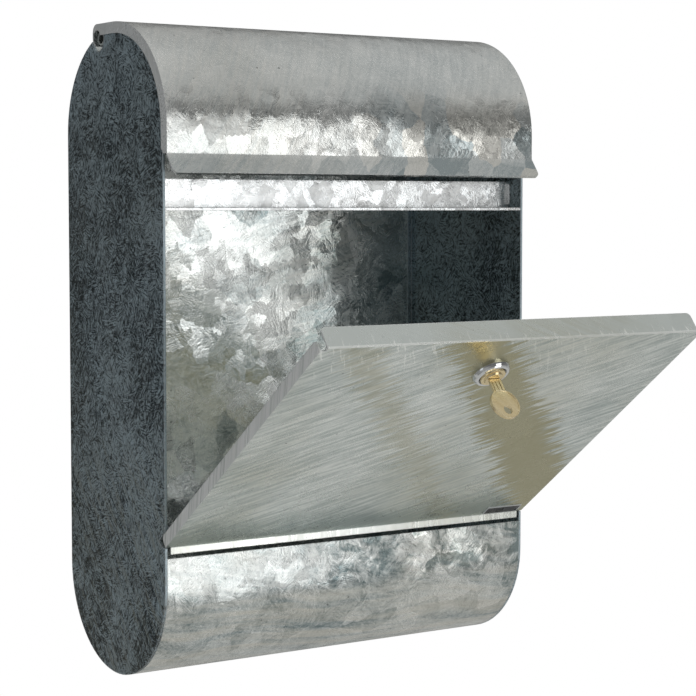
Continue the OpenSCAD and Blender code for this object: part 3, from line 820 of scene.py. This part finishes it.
def doorMarks(tree, placed, flat, level):
    look = doorMarksLook
    x, y, z = addNode(tree, "ShaderNodeSeparateXYZ", {0: placed}).outputs
    fray = maths(tree, "SUBTRACT", stroked(tree, flat, *look["fray"])["Soft"], 0.5)
    shifted = maths(tree, "ADD", x, times(tree, fray, look["frayBy"]))

    def bandMask(leftLine, rightLine, soft):
        left, right = (
            maths(tree, "MULTIPLY_ADD", z, -slope, start) for start, slope in (leftLine, rightLine)
        )
        pastLeft = ranged(tree, maths(tree, "SUBTRACT", shifted, left), -soft, soft, smooth=True)
        pastRight = ranged(tree, maths(tree, "SUBTRACT", right, shifted), -soft, soft, smooth=True)
        return times(tree, pastLeft, pastRight)

    olive, beige = bandMask(*look["olive"]), bandMask(*look["beige"])
    high = times(
        tree, ranged(tree, z, *look["frostUp"], smooth=True), ranged(tree, x, *look["frostAcross"])
    )
    frost = stroked(tree, flat, *look["frost"])["Sharp"]
    level = raised(tree, level, times(tree, frost, high), look["frostLift"])
    level = raised(tree, level, olive, look["oliveLift"])
    level = raised(tree, level, ranged(tree, z, *look["foot"], smooth=True), look["footLift"])
    # the top fold keeps its own shade, with a painted highlight along its bend, and the drip strip gets a
    # fixed bright level, painted light
    fold = maths(tree, "GREATER_THAN", z, look["foldFrom"])
    strip = maths(tree, "LESS_THAN", z, look["stripFrom"])
    rime = times(tree, stroked(tree, flat, *look["rime"])["Sharp"], ranged(tree, y, *look["rimeBack"]))
    foldLevel = maths(tree, "MULTIPLY_ADD", rime, look["rimeLift"], look["foldShade"])
    # painted highlight where the fold bends
    foldLevel = raised(tree, foldLevel, maths(tree, "LESS_THAN", y, look["bendFrom"]), look["bendHighlightLift"])
    for part, shade in ((fold, foldLevel), (strip, look["stripPaintedLight"])):
        level = maths(
            tree, "ADD", times(tree, level, maths(tree, "SUBTRACT", 1.0, part)), times(tree, part, shade)
        )
    face = maths(tree, "SUBTRACT", 1.0, maths(tree, "MAXIMUM", fold, strip))
    mark = maths(
        tree, "MAXIMUM", times(tree, olive, look["oliveStain"]), times(tree, beige, look["beigeStain"])
    )
    return level, times(tree, mark, face)


pivot = (0.0, -0.1695, -0.1682)  # door hinge line
openAngle = math.radians(53)
wrapRoll = (-0.085, -0.215, 0.155, 0.085)  # centre line and radius of the rolled sheet

# the side sheet's near-black dark colour and low middle are painted shade, the dark reflection of the room at
# the left, laid over the zinc's own crystals
sidePanelLook = {
    "plane": "YZ", "crystal": 0.020, "warp": 0.9, "crystalMix": 0.30, "featherMix": 0.40, "cloudMix": 0.60,
    "streakMix": 0.30, "middle": 0.40,
    "needleMix": 1.15, "lineMix": 0.45, "needle": 0.0085, "cloud": 0.13, "cloudSeed": 4.0,
    "dark": (0.012, 0.024, 0.030), "light": (0.47, 0.58, 0.64), "rough": 0.40, "tilt": 0.06,
    "stain": (0.21, 0.20, 0.135), "stainMix": 0.20, "streakAngle": 58.0, "streakWidth": 0.0035,
    "streakLength": 0.045,
    "metal": 0.8, "edge": 0.0014, "edgeTone": (0.80, 0.83, 0.85),
}
wrapLook = {
    "roll": wrapRoll, "crystal": 0.028, "warp": 0.5, "crystalMix": 0.35, "featherMix": 0.22,
    "cloudMix": 0.45, "streakMix": 0.16,
    "needleMix": 0.20, "lineMix": 0.12, "needle": 0.010, "cloud": 0.13, "cloudSeed": 2.0, "middle": 0.55,
    "dark": (0.18, 0.235, 0.245), "light": (0.90, 0.93, 0.92), "rough": 0.22, "tilt": 0.10,
    "streakAngle": 12.0,
    "stain": (0.50, 0.45, 0.35), "stainMix": 0.30,
}
lidLook = {
    "roll": (-0.0898, -0.4, 0.155, 0.0905), "crystal": 0.017, "warp": 0.7, "crystalMix": 0.10,
    "featherMix": 0.14, "cloudMix": 0.25, "streakMix": 0.16,
    "needleMix": 0.12, "lineMix": 0.06, "needle": 0.010, "cloud": 0.14, "cloudSeed": 6.0, "middle": 0.62,
    "dark": (0.34, 0.39, 0.40), "light": (0.93, 0.94, 0.92), "rough": 0.22, "tilt": 0.09,
    "streakAngle": -62.0,
    "stain": (0.50, 0.45, 0.36), "stainMix": 0.22, "flangeHighlightMix": 0.8,
}
crossbarLook = {
    "plane": "XZ", "crystal": 0.012, "crystalMix": 0.24, "featherMix": 0.24, "cloudMix": 0.24,
    "streakMix": 0.0, "middle": 0.72,
    "needleMix": 0.16, "lineMix": 0.08, "needle": 0.007, "cloud": 0.10, "cloudSeed": 9.0,
    "dark": (0.46, 0.51, 0.54), "light": (0.97, 0.98, 0.98), "rough": 0.24, "tilt": 0.08,
}
doorLook = {
    "plane": "XZ", "shift": pivot, "turn": (openAngle, 0, 0), "crystal": 0.034, "warp": 1.0,
    "crystalMix": 0.10, "featherMix": 0.10, "cloudMix": 0.35, "streakMix": 0.60,
    "needleMix": 0.06, "lineMix": 0.05, "needle": 0.014, "cloud": 0.13, "cloudSeed": 3.0,
    "dark": (0.43, 0.49, 0.475), "light": (0.92, 0.95, 0.92), "rough": 0.28, "tilt": 0.03,
    "streakAngle": -30.0, "streakLength": 0.050, "streakWidth": 0.0035,
    "stain": (0.42, 0.395, 0.25), "stainMix": 0.30, "edgeTone": (0.94, 0.95, 0.95), "flangeHighlightMix": 0.85,
}

sideSheet = zincSheet("galvanisedSide", sidePanelLook, sideMarks)
wrapSheet = zincSheet("galvanisedWrap", wrapLook, wrapMarks)
lidSheet = zincSheet("galvanisedLid", lidLook, lidMarks)
crossbarSheet = zincSheet("galvanisedCrossbar", crossbarLook)
doorSheet = zincSheet("galvanisedDoor", doorLook, doorMarks)

finish("left_side_panel", sideSheet)
finish("right_side_panel", sideSheet)
finish("body_wrap", wrapSheet)
finish("lid", lidSheet)
finish("slot_crossbar", crossbarSheet)
finish("door_panel", doorSheet)
print("sheets finished")

steelLook = {
    "dark": (0.34, 0.36, 0.38), "light": (0.66, 0.68, 0.69), "rough": 0.38, "edgeTone": (0.75, 0.76, 0.77)
}
chromeLook = {
    "dark": (0.62, 0.635, 0.64), "light": (0.84, 0.85, 0.85), "rough": 0.10, "roughSwing": 0.05,
    "cloudMix": 0.3, "relief": 0.000002, "edge": 0.0004
}
brassLook = {
    "dark": (0.66, 0.50, 0.24), "light": (0.95, 0.83, 0.56), "rough": 0.22, "roughSwing": 0.06,
    "edgeTone": (1.0, 0.94, 0.76), "edgeMix": 0.9, "cloud": 0.006, "streakMix": 0.06
}
castLook = {
    "dark": (0.38, 0.39, 0.41), "light": (0.62, 0.63, 0.66), "rough": 0.42, "cloud": 0.004,
    "relief": 0.00002
}
camLook = {"dark": (0.42, 0.43, 0.44), "light": (0.70, 0.71, 0.72), "rough": 0.30}
springLook = {"dark": (0.45, 0.46, 0.47), "light": (0.75, 0.76, 0.78), "rough": 0.22}

for name in ("hinge_bracket_left", "hinge_bracket_right", "door_ear_left", "door_ear_right"):
    finish(name, plainMetal("zincedSteel_" + name, dict(steelLook, seed=float(len(name)))))
finish("hinge_pins", plainMetal("pinSteel", dict(steelLook, rough=0.28)))
finish("lock_bezel", plainMetal("bezelChrome", chromeLook))
finish("lock_housing", plainMetal("housingCasting", castLook))
finish("lock_nut", plainMetal("nutSteel", dict(steelLook, rough=0.3, seed=5.0)))
finish("lock_plug", plainMetal("plugBrass", dict(brassLook, seed=6.0)))
finish("lock_wafers", plainMetal("waferBrass", dict(brassLook, seed=7.0)))
finish("wafer_springs", plainMetal("springSteel", springLook))
finish("lock_cam", plainMetal("camSteel", camLook))
finish("cam_washer", plainMetal("washerSteel", dict(camLook, seed=8.0)))
finish("cam_screw", plainMetal("screwSteel", dict(camLook, rough=0.26, seed=9.0)))
finish("key", plainMetal("keyBrass", dict(brassLook, seed=3.0)))

labelLook = {"middleX": 0.1565, "halfWidth": 0.0182, "below": 0.0001, "halfHeight": 0.0049}
labelMat = bpy.data.materials.new("blankLabel")
labelMat.use_nodes = True
labelTree = labelMat.node_tree
labelShader = labelTree.nodes["Principled BSDF"]
labelCoords = addNode(
    labelTree, "ShaderNodeMapping",
    {
        "Vector": addNode(labelTree, "ShaderNodeTexCoord").outputs["Object"], "Location": pivot,
        "Rotation": (openAngle, 0, 0)
    },
    vector_type="TEXTURE"
).outputs[0]
labelAt = addNode(labelTree, "ShaderNodeSeparateXYZ", {0: labelCoords})
labelAside = maths(labelTree, "SUBTRACT", labelAt.outputs[0], labelLook["middleX"])
labelUp = maths(labelTree, "ADD", labelAt.outputs[2], labelLook["below"])
labelRim = maths(
    labelTree, "MAXIMUM",
    maths(labelTree, "GREATER_THAN", maths(labelTree, "ABSOLUTE", labelAside), labelLook["halfWidth"]),
    maths(labelTree, "GREATER_THAN", maths(labelTree, "ABSOLUTE", labelUp), labelLook["halfHeight"])
)
labelCloud = placeGroup(labelTree, cloudGroup, {"Vector": labelCoords, "Size": 0.01, "Seed": 4.0})
labelInk = blended(labelTree, labelCloud["Shade"], (0.012, 0.012, 0.014, 1), (0.035, 0.035, 0.04, 1))
labelTree.links.new(
    blended(labelTree, labelRim, labelInk, (0.62, 0.64, 0.65, 1)), labelShader.inputs["Base Color"]
)
labelTree.links.new(
    ranged(labelTree, labelCloud["Shade"], 0.0, 1.0, 0.22, 0.36), labelShader.inputs["Roughness"]
)
finish("label_plate", labelMat)
print("fittings finished")
